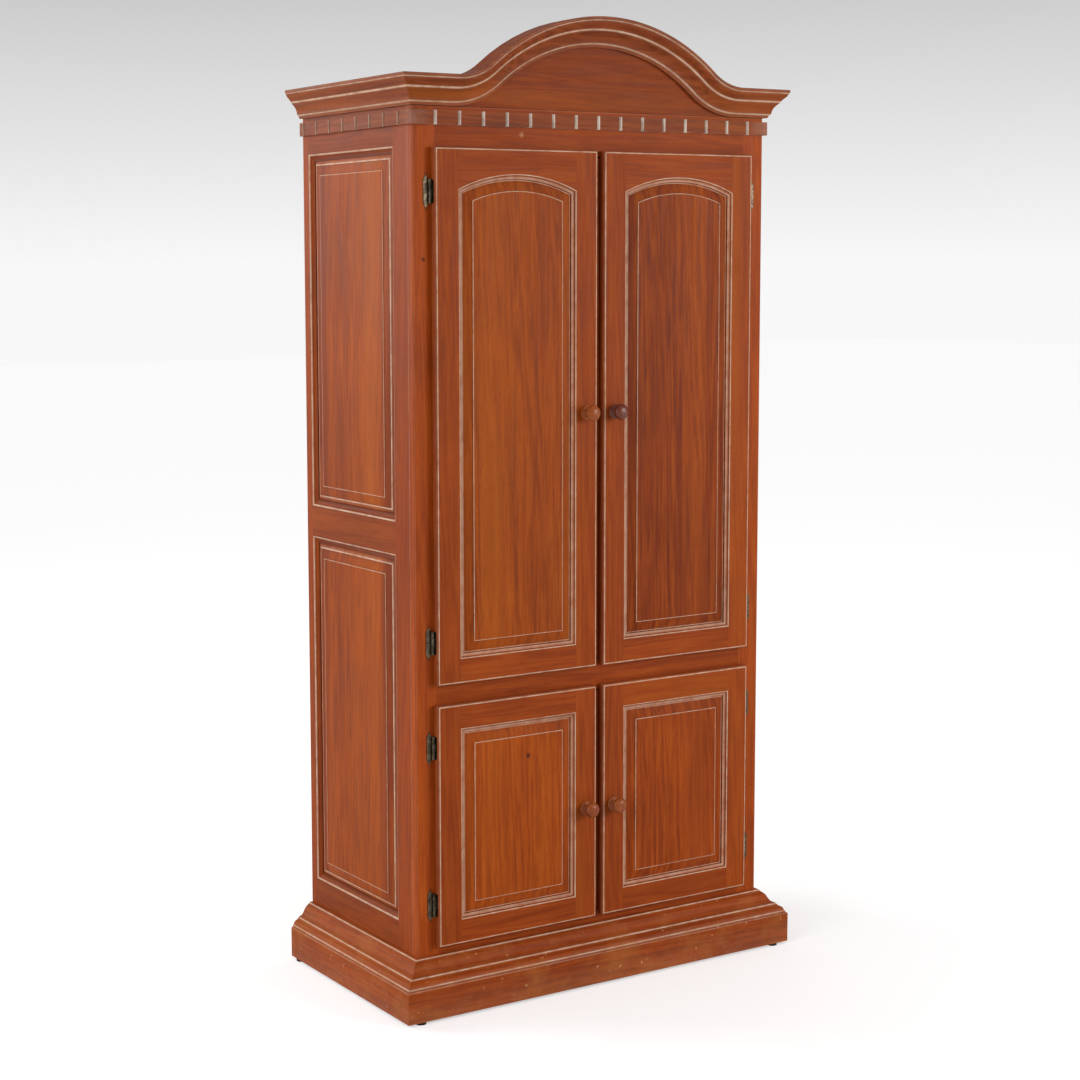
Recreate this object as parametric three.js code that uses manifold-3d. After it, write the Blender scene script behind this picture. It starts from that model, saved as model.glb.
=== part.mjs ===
// Television armoire: a tall cabinet with an arched crown, four overlay doors and a moulded plinth.
// Millimetres, +Z up, doors face -Y. Heights are measured from the floor.

import * as THREE from 'three';
import { mergeVertices } from 'three/addons/utils/BufferGeometryUtils.js';
import Module from 'manifold-3d';

const wasm = await Module();
wasm.setup();

// Carcase
const carcaseWidth = 980;
const carcaseDepth = 500;
const boardThickness = 19;
const backThickness = 6;
const glideHeight = 6;
const glideRadius = 12;
const glideInset = 27;

// Plinth and the cap moulding on it
const plinthHeight = 73;
const plinthProud = 59;
const plinthThickness = 25;
const plinthArris = 3;
const capProud = 55;
const capHeight = 54;

// Crown
const crownProud = 46;
const crownDrop = 65;
const archRise = 143;
const archHalfRun = 395;
const archRadius = 480;
const archSteps = 18;
const shoulderSteps = 8;

// Dentil strip
const dentilAboveDoors = 48;
const crownAboveDentils = 10;
const dentilHeight = 31;
const dentilProud = 8;
const dentilSlotDepth = 5;
const dentilSlotWidth = 6;
const dentilBlocks = 16;

// Doors
const lowerDoorBottom = 154;
const lowerDoorHeight = 553;
const doorsApart = 46;
const upperDoorHeight = 1187;
const doorOuterInset = 47;
const meetingGap = 19;
const doorThickness = 19;
const doorGap = 1;
const doorOverlay = 12;
const doorStile = 60;
const doorTopRail = 57;
const doorBottomRail = 57;
const panelArchRise = 34;
const panelArchSteps = 12;
const meetingStripThickness = 12;
const meetingStripClearance = 1.5;
const meetingStripLap = 20;
const meetingStripEndGap = 3;

// Raised panels and the moulded edge round their openings
const stickingWidth = 10;
const stickingDepth = 6;
const panelClearance = 0.3;
const doorPanelMargin = 43;
const doorPanelRecess = 1;
const panelGroove = 3;
const doorPanelBack = 4;
const sideStickingWidth = 14;
const sideStickingDepth = 8;
const sidePanelMargin = 58;
const sidePanelRecess = 2;
const sideFrontStile = 84;
const sideRearStile = 29;
const sideLowerPanelBottom = 200;
const sideMidRail = 76;
const sidePanelBelowDentils = 45;

// Inside
const shelfTop = 449;
const shelfFrontSetback = 40;
const cableHoleWidth = 120;
const cableHoleHeight = 60;
const cableHoleAboveDeck = 60;

// Knobs
const knobRadius = 18.5;
const knobLength = 36;
const upperKnobHeight = 1346;
const lowerKnobHeight = 420;
const knobSides = 20;

// Hinges
const hingeInset = 96;
const pinRadius = 2;
const pinClearance = 0.3;
const knuckleRadius = 4;
const barrelHeight = 52;
const middleKnuckleHeight = 20;
const knuckleClearance = 0.5;
const hingeLeafHeight = 78;
const hingeLeafWidth = 15;
const hingeLeafThickness = 1.5;
const hingeTipHeight = 14;
const hingeDoorGap = 0.5;
const hingeSides = 16;
const doorLeafHeight = 50;
const doorLeafDepth = 9;
const doorLeafThickness = 1;

const cutOverrun = 2;

// Profiles run outwards from the cabinet: share of the projection, then share of the height
const crownProfileShares = [
  [0, 0], [1, 0], [1, 0.11], [0.945, 0.135], [0.875, 0.24], [0.796, 0.31], [0.661, 0.409],
  [0.626, 0.483], [0.457, 0.594], [0.354, 0.708], [0.32, 0.815], [0.302, 0.877],
  [0.235, 0.892], [0.183, 0.985], [0.183, 1], [0, 1],
];
const capProfileShares = [
  [0, 0], [1, 0], [1, 0.055], [0.971, 0.09], [0.902, 0.235], [0.764, 0.31], [0.698, 0.37],
  [0.698, 0.405], [0.527, 0.48], [0.46, 0.56], [0.358, 0.78], [0.222, 0.905],
  [0.153, 0.966], [0.153, 1], [0, 1],
];
// A turned knob: share of its radius, then share of its length from the door
const knobProfileShares = [
  [0, 0], [0.92, 0], [0.92, 0.08], [0.73, 0.15], [0.4, 0.22], [0.35, 0.33], [0.43, 0.44],
  [0.76, 0.53], [0.97, 0.62], [1, 0.72], [0.92, 0.83], [0.68, 0.93], [0.32, 0.985], [0, 1],
];
// The raised part of a panel: share of its margin, then share of its groove depth
const panelProfileShares = [[0, 1], [0.08, 0.9], [0.75, 0.25], [0.78, 0], [1, 0]];
const sideSlotLeadShare = 0.85;
const sideLowerPanelShare = 0.504;

// Derived places
const halfWidth = carcaseWidth / 2;
const innerHalf = halfWidth - boardThickness;
const backFront = carcaseDepth - backThickness;
const carcaseBottom = glideHeight;
const plinthTop = glideHeight + plinthHeight;
const lowerDoorTop = lowerDoorBottom + lowerDoorHeight;
const upperDoorBottom = lowerDoorTop + doorsApart;
const upperDoorTop = upperDoorBottom + upperDoorHeight;
const openingHalf = halfWidth - doorOuterInset - doorOverlay;
const lowerOpeningBottom = lowerDoorBottom + doorOverlay;
const lowerOpeningTop = lowerDoorTop - doorOverlay;
const upperOpeningBottom = upperDoorBottom + doorOverlay;
const upperOpeningTop = upperDoorTop - doorOverlay;
const dentilBottom = upperDoorTop + dentilAboveDoors;
const friezeBottom = dentilBottom + dentilHeight + crownAboveDentils;
const crownTop = friezeBottom + crownDrop;
const sidePanelsHeight = dentilBottom - sidePanelBelowDentils - sideLowerPanelBottom - sideMidRail;
const sideLowerPanelTop = sideLowerPanelBottom + sideLowerPanelShare * sidePanelsHeight;
const sideUpperPanelTop = dentilBottom - sidePanelBelowDentils;
const doorOuter = halfWidth - doorOuterInset;
const doorInner = meetingGap / 2;
const doorWidth = doorOuter - doorInner;
const hingeAxisX = doorOuter + hingeDoorGap + knuckleRadius;
const hingeAxisY = -hingeDoorGap - knuckleRadius;

const finishes = {
  cherryWood: new THREE.MeshStandardMaterial({ color: 0x9c4a22, roughness: 0.42, metalness: 0 }),
  panelWood: new THREE.MeshStandardMaterial({ color: 0x8c3a1c, roughness: 0.42, metalness: 0 }),
  mouldingWood: new THREE.MeshStandardMaterial({ color: 0x8e4526, roughness: 0.48, metalness: 0 }),
  insideWood: new THREE.MeshStandardMaterial({ color: 0x8a5230, roughness: 0.6, metalness: 0 }),
  antiqueBrass: new THREE.MeshStandardMaterial({ color: 0x4a3a24, roughness: 0.45, metalness: 0.9 }),
  glidePlastic: new THREE.MeshStandardMaterial({ color: 0x2a2420, roughness: 0.6, metalness: 0 }),
};

function piece(name, geometry, finish) {
  const mesh = new THREE.Mesh(geometry, finishes[finish].clone());
  mesh.name = name;
  return mesh;
}

function board(name, low, high, finish) {
  const size = high.map((value, axis) => value - low[axis]);
  const mesh = piece(name, new THREE.BoxGeometry(...size), finish);
  mesh.position.set(...high.map((value, axis) => (value + low[axis]) / 2));
  return mesh;
}

// Joins rings of equal length into one closed solid; flat2d gives a ring's points for its end caps
function loft(rings, flat2d) {
  const count = rings[0].length;
  const positions = rings.flat().flatMap((point) => [point.x, point.y, point.z]);
  const cap = THREE.ShapeUtils.triangulateShape(flat2d, []);
  const last = (rings.length - 1) * count;
  const index = [];
  for (let ring = 0; ring < rings.length - 1; ring += 1) {
    for (let i = 0; i < count; i += 1) {
      const a = ring * count + i;
      const b = ring * count + ((i + 1) % count);
      index.push(a, b, b + count, a, b + count, a + count);
    }
  }
  for (const [a, b, c] of cap) {
    index.push(c, b, a, last + a, last + b, last + c);
  }
  return outwardGeometry(positions, index);
}

function outwardGeometry(positions, index) {
  let volume = 0;
  const [a, b, c] = [new THREE.Vector3(), new THREE.Vector3(), new THREE.Vector3()];
  for (let i = 0; i < index.length; i += 3) {
    a.fromArray(positions, index[i] * 3);
    b.fromArray(positions, index[i + 1] * 3);
    c.fromArray(positions, index[i + 2] * 3);
    volume += a.dot(b.cross(c));
  }
  const geometry = new THREE.BufferGeometry();
  geometry.setAttribute('position', new THREE.Float32BufferAttribute(positions, 3));
  geometry.setIndex(volume < 0 ? index.slice().reverse() : index);
  return geometry;
}

function toSolid(geometry) {
  const bare = geometry.clone();
  bare.deleteAttribute('normal');
  bare.deleteAttribute('uv');
  const merged = mergeVertices(bare);
  return new wasm.Manifold(new wasm.Mesh({
    numProp: 3,
    vertProperties: new Float32Array(merged.attributes.position.array),
    triVerts: new Uint32Array(merged.index.array),
  }));
}

function fromSolid(solid) {
  const mesh = solid.getMesh();
  const geometry = new THREE.BufferGeometry();
  geometry.setAttribute('position', new THREE.BufferAttribute(new Float32Array(mesh.vertProperties), 3));
  geometry.setIndex(new THREE.BufferAttribute(new Uint32Array(mesh.triVerts), 1));
  return geometry;
}

function boxSolid(low, high) {
  const size = high.map((value, axis) => value - low[axis]);
  const geometry = new THREE.BoxGeometry(...size);
  geometry.translate(...high.map((value, axis) => (value + low[axis]) / 2));
  return toSolid(geometry);
}

// An opening seen from the front: a rectangle, with a segmental arch on top if it has a rise
function panelOutline(opening, offset) {
  const { left, right, bottom, top, rise } = opening;
  const points = [[left + offset, bottom + offset], [right - offset, bottom + offset]];
  if (!rise) {
    points.push([right - offset, top - offset], [left + offset, top - offset]);
    return points;
  }
  const half = (right - left) / 2;
  const radius = (half * half + rise * rise) / (2 * rise);
  const inner = radius - offset;
  const spread = Math.asin((half - offset) / inner);
  for (let i = 0; i <= panelArchSteps; i += 1) {
    const angle = spread * (1 - (2 * i) / panelArchSteps);
    points.push([(left + right) / 2 + inner * Math.sin(angle), top - radius + inner * Math.cos(angle)]);
  }
  return points;
}

// Rings of an opening's outline: each has an inward offset and a depth behind the front face
function openingLoft(opening, steps) {
  const rings = steps.map(([offset, depth]) => (
    panelOutline(opening, offset).map(([x, z]) => new THREE.Vector3(x, depth, z))
  ));
  const flat = panelOutline(opening, steps[0][0]).map(([x, z]) => new THREE.Vector2(x, z));
  return loft(rings, flat);
}

// A framed board with openings: its front face is at depth 0 and its back at the thickness
function framedBoard(low, high, thickness, openings, width, depth) {
  let solid = boxSolid([low[0], 0, low[1]], [high[0], thickness, high[1]]);
  for (const opening of openings) {
    solid = solid.subtract(toSolid(openingLoft(opening, [
      [-cutOverrun * width / depth, -cutOverrun], [width, depth],
    ])));
    solid = solid.subtract(toSolid(openingLoft(opening, [
      [width, -cutOverrun], [width, thickness + cutOverrun],
    ])));
  }
  return fromSolid(solid);
}

function raisedPanel(opening, width, margin, recess, back) {
  const rise = margin - width;
  const steps = panelProfileShares.map(([across, deep]) => (
    [width + panelClearance + across * rise, recess + deep * (stickingDepth + panelGroove - recess)]
  ));
  return openingLoft(opening, [[width + panelClearance, back], ...steps]);
}

// The top line of the crown from left to right: place and the direction that its profile hangs in
function crownPath() {
  const turn = 2 * Math.atan(archRise / archHalfRun);
  const shoulderRadius = archHalfRun / Math.sin(turn) - archRadius;
  const half = [];
  for (let i = 0; i <= archSteps / 2; i += 1) {
    const angle = (turn * 2 * i) / archSteps;
    half.push({
      x: archRadius * Math.sin(angle),
      z: crownTop + archRise - archRadius + archRadius * Math.cos(angle),
      angle,
    });
  }
  for (let i = 1; i <= shoulderSteps; i += 1) {
    const angle = turn * (1 - i / shoulderSteps);
    half.push({
      x: archHalfRun - shoulderRadius * Math.sin(angle),
      z: crownTop + shoulderRadius * (1 - Math.cos(angle)),
      angle,
    });
  }
  const left = half.slice(1).reverse().map(({ x, z, angle }) => ({ x: -x, z, angle: -angle }));
  return [...left, ...half];
}

function profilePoints(shares, proud, height) {
  return shares.map(([out, up]) => new THREE.Vector2(out * proud, up * height));
}

function frontMoulding(profile, height, path = []) {
  const end = (side) => profile.map((p) => new THREE.Vector3(side * (halfWidth + p.x), -p.x, height(p.y)));
  const middle = path.map(({ x, z, angle }) => profile.map((p) => (
    new THREE.Vector3(x - Math.sin(angle) * p.y, -p.x, z - Math.cos(angle) * p.y)
  )));
  return loft([end(-1), ...middle, end(1)], profile);
}

function sideMoulding(profile, height, side) {
  const rings = [(p) => -p.x, () => carcaseDepth].map((along) => (
    profile.map((p) => new THREE.Vector3(side * (halfWidth + p.x), along(p), height(p.y)))
  ));
  return loft(rings, profile);
}

function mouldingSet(prefix, profile, height, path) {
  return [
    piece(`${prefix}_front`, frontMoulding(profile, height, path), 'mouldingWood'),
    piece(`${prefix}_left`, sideMoulding(profile, height, -1), 'mouldingWood'),
    piece(`${prefix}_right`, sideMoulding(profile, height, 1), 'mouldingWood'),
  ];
}

function crown() {
  const profile = profilePoints(crownProfileShares, crownProud, crownDrop);
  return mouldingSet('crown', profile, (drop) => crownTop - drop, crownPath());
}

function capMoulding() {
  const profile = profilePoints(capProfileShares, capProud, capHeight);
  return mouldingSet('base_cap', profile, (rise) => plinthTop + rise);
}

function plinth() {
  const inner = plinthProud - plinthThickness;
  const profile = [
    [inner, 0], [plinthProud, 0], [plinthProud, plinthHeight - plinthArris],
    [plinthProud - plinthArris, plinthHeight], [inner, plinthHeight],
  ].map(([out, up]) => new THREE.Vector2(out, up));
  return mouldingSet('plinth', profile, (rise) => glideHeight + rise);
}

function tympanum() {
  const shape = new THREE.Shape([
    new THREE.Vector2(-halfWidth, friezeBottom),
    new THREE.Vector2(halfWidth, friezeBottom),
    new THREE.Vector2(halfWidth, crownTop),
    ...crownPath().reverse().map(({ x, z }) => new THREE.Vector2(x, z)),
    new THREE.Vector2(-halfWidth, crownTop),
  ]);
  const geometry = new THREE.ExtrudeGeometry(shape, { depth: boardThickness, bevelEnabled: false });
  geometry.rotateX(Math.PI / 2);
  geometry.translate(0, boardThickness, 0);
  return piece('arched_frieze_board', geometry, 'cherryWood');
}

// A strip seen from above, with slots cut across its outer face, drawn along +X and facing -Y
function dentilStrip(start, end, slots) {
  const outline = [[start, 0], [start, -dentilProud]];
  for (const slot of slots) {
    const [near, far] = [slot - dentilSlotWidth / 2, slot + dentilSlotWidth / 2];
    const floor = dentilSlotDepth - dentilProud;
    outline.push([near, -dentilProud], [near, floor], [far, floor], [far, -dentilProud]);
  }
  outline.push([end, -dentilProud], [end, 0]);
  const shape = new THREE.Shape(outline.map(([x, y]) => new THREE.Vector2(x, y)));
  return new THREE.ExtrudeGeometry(shape, { depth: dentilHeight, bevelEnabled: false });
}

function dentils() {
  const reach = halfWidth + dentilProud;
  const pitch = (2 * reach) / dentilBlocks;
  const frontSlots = Array.from({ length: dentilBlocks - 1 }, (_, i) => (i + 1) * pitch - reach);
  const front = piece('dentil_strip_front', dentilStrip(-reach, reach, frontSlots), 'mouldingWood');
  front.position.z = dentilBottom;
  const firstSideSlot = sideSlotLeadShare * pitch - dentilProud;
  const lastSideSlot = carcaseDepth - dentilSlotWidth;
  const sideSlotCount = Math.floor((lastSideSlot - firstSideSlot) / pitch) + 1;
  const sideSlots = Array.from({ length: sideSlotCount }, (_, i) => firstSideSlot + i * pitch);
  const right = piece('dentil_strip_right', dentilStrip(0, carcaseDepth, sideSlots), 'mouldingWood');
  right.rotation.z = Math.PI / 2;
  right.position.set(halfWidth, 0, dentilBottom);
  const mirrored = sideSlots.map((slot) => carcaseDepth - slot).reverse();
  const left = piece('dentil_strip_left', dentilStrip(0, carcaseDepth, mirrored), 'mouldingWood');
  left.rotation.z = -Math.PI / 2;
  left.position.set(-halfWidth, carcaseDepth, dentilBottom);
  return [front, left, right];
}

function faceFrame() {
  const outer = boxSolid([-halfWidth, 0, carcaseBottom], [halfWidth, boardThickness, friezeBottom]);
  const openings = [[lowerOpeningBottom, lowerOpeningTop], [upperOpeningBottom, upperOpeningTop]];
  const cut = openings.reduce((solid, [bottom, top]) => solid.subtract(boxSolid(
    [-openingHalf, -cutOverrun, bottom],
    [openingHalf, boardThickness + cutOverrun, top],
  )), outer);
  return piece('face_frame', fromSolid(cut), 'cherryWood');
}

// One side of the carcase, built facing -Y and then turned to face its own way
function side(name, facing) {
  const length = carcaseDepth - boardThickness;
  const front = sideFrontStile - boardThickness;
  const [near, far] = [front, length - sideRearStile];
  const [left, right] = facing > 0 ? [near, far] : [length - far, length - near];
  const lower = { left, right, bottom: sideLowerPanelBottom, top: sideLowerPanelTop };
  const upper = { left, right, bottom: lower.top + sideMidRail, top: sideUpperPanelTop };
  const frame = framedBoard(
    [0, carcaseBottom], [length, crownTop], boardThickness, [lower, upper], sideStickingWidth, sideStickingDepth,
  );
  const panel = (opening) => raisedPanel(
    opening, sideStickingWidth, sidePanelMargin, sidePanelRecess, boardThickness,
  );
  const group = new THREE.Group();
  group.add(
    piece(`${name}_side_frame`, frame, 'cherryWood'),
    piece(`${name}_side_lower_panel`, panel(lower), 'panelWood'),
    piece(`${name}_side_upper_panel`, panel(upper), 'panelWood'),
  );
  group.rotation.z = facing * Math.PI / 2;
  group.position.set(facing * halfWidth, facing > 0 ? boardThickness : carcaseDepth, 0);
  return group;
}

function backPanel() {
  const holeBottom = upperOpeningBottom + cableHoleAboveDeck;
  const sheet = boxSolid([-innerHalf, backFront, carcaseBottom], [innerHalf, carcaseDepth, crownTop]);
  const hole = boxSolid(
    [-cableHoleWidth / 2, backFront - cutOverrun, holeBottom],
    [cableHoleWidth / 2, carcaseDepth + cutOverrun, holeBottom + cableHoleHeight],
  );
  return piece('back_panel', fromSolid(sheet.subtract(hole)), 'insideWood');
}

function deck(name, top, finish, setback = 0) {
  return board(
    name,
    [-innerHalf, boardThickness + setback, top - boardThickness],
    [innerHalf, backFront, top],
    finish,
  );
}

function inside() {
  return [
    deck('top_board', crownTop, 'cherryWood'),
    deck('television_deck', upperOpeningBottom, 'insideWood'),
    deck('bottom_board', lowerOpeningBottom, 'insideWood'),
    deck('lower_shelf', shelfTop, 'insideWood', shelfFrontSetback),
    backPanel(),
  ];
}

function glides() {
  const front = -plinthProud + plinthThickness / 2;
  const rear = carcaseDepth - glideInset;
  const outer = halfWidth + plinthProud - plinthThickness / 2;
  const places = {
    front_left: [-outer + glideInset, front],
    front_right: [outer - glideInset, front],
    rear_left: [-outer, rear],
    rear_right: [outer, rear],
  };
  return Object.entries(places).map(([name, [x, y]]) => {
    const geometry = new THREE.CylinderGeometry(glideRadius, glideRadius, glideHeight, knobSides);
    const mesh = piece(`glide_${name}`, geometry, 'glidePlastic');
    mesh.rotation.x = Math.PI / 2;
    mesh.position.set(x, y, glideHeight / 2);
    return mesh;
  });
}

function knob(name, height) {
  const points = knobProfileShares.map(([out, along]) => (
    new THREE.Vector2(out * knobRadius, along * knobLength)
  ));
  const mesh = piece(name, new THREE.LatheGeometry(points, knobSides), 'panelWood');
  mesh.rotation.x = Math.PI;
  mesh.position.set(doorWidth - doorStile / 2, -panelClearance, height);
  return mesh;
}

function cylinderSolid(radius, bottom, top) {
  const geometry = new THREE.CylinderGeometry(radius, radius, top - bottom, hingeSides);
  geometry.rotateX(Math.PI / 2);
  geometry.translate(0, 0, (bottom + top) / 2);
  return toSolid(geometry);
}

// The leaf on the face frame, with pointed tips, two knuckles and the pin, about its own axis
function frameLeaf() {
  const halfLeaf = hingeLeafHeight / 2;
  const shoulder = halfLeaf - hingeTipHeight;
  const outline = [
    [0, -shoulder], [0, shoulder], [-hingeLeafWidth / 2, shoulder + hingeTipHeight / 2],
    [-hingeLeafWidth / 2, halfLeaf], [-hingeLeafWidth, shoulder],
    [-hingeLeafWidth, -shoulder], [-hingeLeafWidth / 2, -halfLeaf],
    [-hingeLeafWidth / 2, -shoulder - hingeTipHeight / 2],
  ].map(([x, z]) => new THREE.Vector2(x, z));
  const plate = new THREE.ExtrudeGeometry(new THREE.Shape(outline), {
    depth: hingeLeafThickness, bevelEnabled: false,
  });
  plate.rotateX(Math.PI / 2);
  plate.translate(0, -hingeAxisY, 0);
  const web = boxSolid(
    [-knuckleRadius, 0, middleKnuckleHeight / 2 + knuckleClearance],
    [0, -hingeAxisY, barrelHeight / 2],
  );
  const lowWeb = boxSolid(
    [-knuckleRadius, 0, -barrelHeight / 2],
    [0, -hingeAxisY, -middleKnuckleHeight / 2 - knuckleClearance],
  );
  const clearOfKnuckle = cylinderSolid(
    knuckleRadius + pinClearance,
    -middleKnuckleHeight / 2 - knuckleClearance,
    middleKnuckleHeight / 2 + knuckleClearance,
  );
  return fromSolid(toSolid(plate)
    .subtract(clearOfKnuckle)
    .add(cylinderSolid(knuckleRadius, middleKnuckleHeight / 2 + knuckleClearance, barrelHeight / 2))
    .add(cylinderSolid(knuckleRadius, -barrelHeight / 2, -middleKnuckleHeight / 2 - knuckleClearance))
    .add(web)
    .add(lowWeb)
    .add(cylinderSolid(pinRadius, -barrelHeight / 2, barrelHeight / 2)));
}

// The leaf on the door's edge with the middle knuckle round the pin
function doorLeaf() {
  const halfKnuckle = middleKnuckleHeight / 2;
  const edge = knuckleRadius + hingeDoorGap;
  const plate = boxSolid(
    [edge - doorLeafThickness, -doorLeafDepth, -doorLeafHeight / 2],
    [edge, 0, doorLeafHeight / 2],
  );
  const clearOfPin = cylinderSolid(
    knuckleRadius + pinClearance, halfKnuckle, doorLeafHeight,
  ).add(cylinderSolid(knuckleRadius + pinClearance, -doorLeafHeight, -halfKnuckle));
  const arm = boxSolid([0, -knuckleRadius, -halfKnuckle], [edge, 0, halfKnuckle]);
  return fromSolid(plate
    .subtract(clearOfPin)
    .add(arm)
    .add(cylinderSolid(knuckleRadius, -halfKnuckle, halfKnuckle))
    .subtract(cylinderSolid(pinRadius + pinClearance, -doorLeafHeight, doorLeafHeight)));
}

function mirrorGeometry(geometry) {
  const flipped = geometry.clone();
  flipped.scale(-1, 1, 1);
  flipped.setIndex(Array.from(flipped.index.array).reverse());
  return flipped;
}

function hinges(name, right, bottom, height) {
  const places = { lower: bottom + hingeInset, upper: bottom + height - hingeInset };
  return Object.entries(places).flatMap(([place, z]) => (
    [['frame_leaf', frameLeaf()], ['door_leaf', doorLeaf()]].map(([leaf, geometry]) => {
      const shaped = right ? mirrorGeometry(geometry) : geometry;
      const mesh = piece(`${name}_${place}_hinge_${leaf}`, shaped, 'antiqueBrass');
      mesh.position.set((right ? 1 : -1) * hingeAxisX, hingeAxisY, z);
      return mesh;
    })
  ));
}

function door(name, right, bottom, height, rise, knobHeight) {
  const opening = {
    left: doorStile,
    right: doorWidth - doorStile,
    bottom: bottom + doorBottomRail,
    top: bottom + height - doorTopRail,
    rise,
  };
  const frame = framedBoard(
    [0, bottom], [doorWidth, bottom + height], doorThickness, [opening], stickingWidth, stickingDepth,
  );
  const panel = raisedPanel(
    opening, stickingWidth, doorPanelMargin, doorPanelRecess, doorThickness - doorPanelBack,
  );
  const parts = [
    piece(`${name}_frame`, frame, 'cherryWood'),
    piece(`${name}_panel`, panel, 'panelWood'),
    knob(`${name}_knob`, knobHeight),
  ];
  if (!right) {
    parts.push(board(
      `${name}_meeting_strip`,
      [doorWidth - meetingStripLap, doorThickness, bottom + doorOverlay + meetingStripEndGap],
      [
        doorWidth + meetingGap - meetingStripClearance,
        doorThickness + meetingStripThickness,
        bottom + height - doorOverlay - meetingStripEndGap,
      ],
      'cherryWood',
    ));
  } else {
    for (const part of parts) {
      part.geometry = part.geometry.index ? part.geometry : mergeVertices(part.geometry);
      part.geometry = mirrorGeometry(part.geometry);
      part.position.x = -part.position.x;
    }
  }
  const group = new THREE.Group();
  group.add(...parts);
  group.position.set((right ? 1 : -1) * doorOuter, -doorGap - doorThickness, 0);
  return group;
}

function doors() {
  const layout = [
    ['upper', upperDoorBottom, upperDoorHeight, panelArchRise, upperKnobHeight],
    ['lower', lowerDoorBottom, lowerDoorHeight, 0, lowerKnobHeight],
  ];
  return layout.flatMap(([level, bottom, height, rise, knobHeight]) => (
    [false, true].flatMap((right) => {
      const name = `${level}_${right ? 'right' : 'left'}_door`;
      return [door(name, right, bottom, height, rise, knobHeight), ...hinges(name, right, bottom, height)];
    })
  ));
}

const armoire = new THREE.Group();
armoire.add(
  ...crown(),
  tympanum(),
  ...dentils(),
  faceFrame(),
  side('left', -1),
  side('right', 1),
  ...inside(),
  ...capMoulding(),
  ...plinth(),
  ...glides(),
  ...doors(),
);
armoire.position.y = (plinthProud - carcaseDepth) / 2;

export default armoire;
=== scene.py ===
"""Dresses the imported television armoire: stained pine, whitewashed edges, brass hinges, studio light."""

import logging
import math
from dataclasses import dataclass
from enum import Enum
from typing import Callable, Dict, List, Optional, Sequence, Tuple, Union

import bmesh
import bpy
from mathutils import Matrix, Vector


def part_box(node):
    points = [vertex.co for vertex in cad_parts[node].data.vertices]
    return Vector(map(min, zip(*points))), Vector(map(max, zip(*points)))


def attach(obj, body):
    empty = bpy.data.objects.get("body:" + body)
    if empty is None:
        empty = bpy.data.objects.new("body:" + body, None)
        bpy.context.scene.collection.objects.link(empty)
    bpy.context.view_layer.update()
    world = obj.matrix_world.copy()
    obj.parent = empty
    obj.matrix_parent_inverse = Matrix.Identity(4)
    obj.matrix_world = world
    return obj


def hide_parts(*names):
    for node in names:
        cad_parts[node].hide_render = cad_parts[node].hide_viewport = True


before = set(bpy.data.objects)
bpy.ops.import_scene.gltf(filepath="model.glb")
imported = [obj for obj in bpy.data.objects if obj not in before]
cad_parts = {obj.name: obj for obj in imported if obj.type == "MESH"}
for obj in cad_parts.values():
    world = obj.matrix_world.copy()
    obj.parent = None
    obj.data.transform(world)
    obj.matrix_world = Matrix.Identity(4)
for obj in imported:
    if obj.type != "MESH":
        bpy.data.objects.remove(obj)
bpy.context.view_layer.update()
LOG = logging.getLogger("armoire")

Colour = Tuple[float, float, float]
Point = Tuple[float, float, float]
Step = Tuple[float, float, float]
Span = Tuple[float, float]
Node = bpy.types.Node
Socket = bpy.types.NodeSocket
Material = bpy.types.Material
Feed = Union[Socket, float, Sequence[float]]
Inputs = Dict[Union[str, int], Feed]
Slotter = Callable[[Vector, Vector], int]

# Sides of the cabinet and the sign of X on each.
SIDES: Dict[str, int] = {"left": -1, "right": 1}

# Edges sharper than this stay sharp in the shading.
SHARP_ANGLE = math.radians(32)
SAME_PLACE = 1e-6

# Reflectance of the wood and of bare metal, and the roughness of a clear coat.
SHEEN = 0.08
METAL_SHEEN = 0.5
COAT_ROUGHNESS = 0.3

# Tints that a finish lays over its own colours.
AMBER: Colour = (0.345, 0.080, 0.006)
UMBER: Colour = (0.150, 0.022, 0.004)
# Painted shade: the dark colour that quirks and recesses are tinted towards where the mark is below nought.
PAINTED_SHADE: Colour = (0.062, 0.012, 0.003)
WASH_COLOUR: Colour = (0.60, 0.41, 0.29)
SLOT_WASH_COLOUR: Colour = (0.86, 0.80, 0.70)
WEAR_COLOUR: Colour = (0.60, 0.30, 0.14)
KNOT_COLOUR: Colour = (0.050, 0.012, 0.004)
HAZE_COLOUR: Colour = (0.400, 0.145, 0.035)

# The point attribute that marks whitewash, 0 to 1, and painted shade in quirks and recesses, 0 to -1.
WASH_AND_SHADE_MARK = "wash_and_shade"


class Grain(Enum):
    """The axis that a board's grain runs along."""

    UPRIGHT = 2
    ACROSS = 0
    DEEP = 1


@dataclass(frozen=True)
class Speckle:
    """A noise texture: how fine it is, and how many finer layers it has."""

    scale: float
    detail: float


FIBRE = Speckle(420.0, 4.0)
STREAK = Speckle(70.0, 5.0)
PORE = Speckle(620.0, 1.0)
BLOTCH = Speckle(4.5, 3.0)
CLOUD = Speckle(9.0, 3.0)
PATCH = Speckle(38.0, 3.0)
NOISE_ROUGHNESS = 0.6

WHOLE_SPAN: Span = (0.0, 1.0)
MIDDLE_SPAN: Span = (0.3, 0.7)


@dataclass(frozen=True)
class Wear:
    """One kind of wear: a tone laid where a noise texture is high."""

    speckle: Speckle
    span: Span
    share: float
    colour: Colour
    stretch: Point = (1.0, 1.0, 1.0)

    def lay(self, nodes: "NodeTree", place: Socket, colour: Socket, strength: float) -> Socket:
        """Gives the colour with the wear on it, as strong as the piece is worn."""
        noise = nodes.noise(nodes.scaled(place, self.stretch), self.speckle)
        return nodes.tint(noise, self.span, (0.0, strength * self.share), colour, self.colour)


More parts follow.
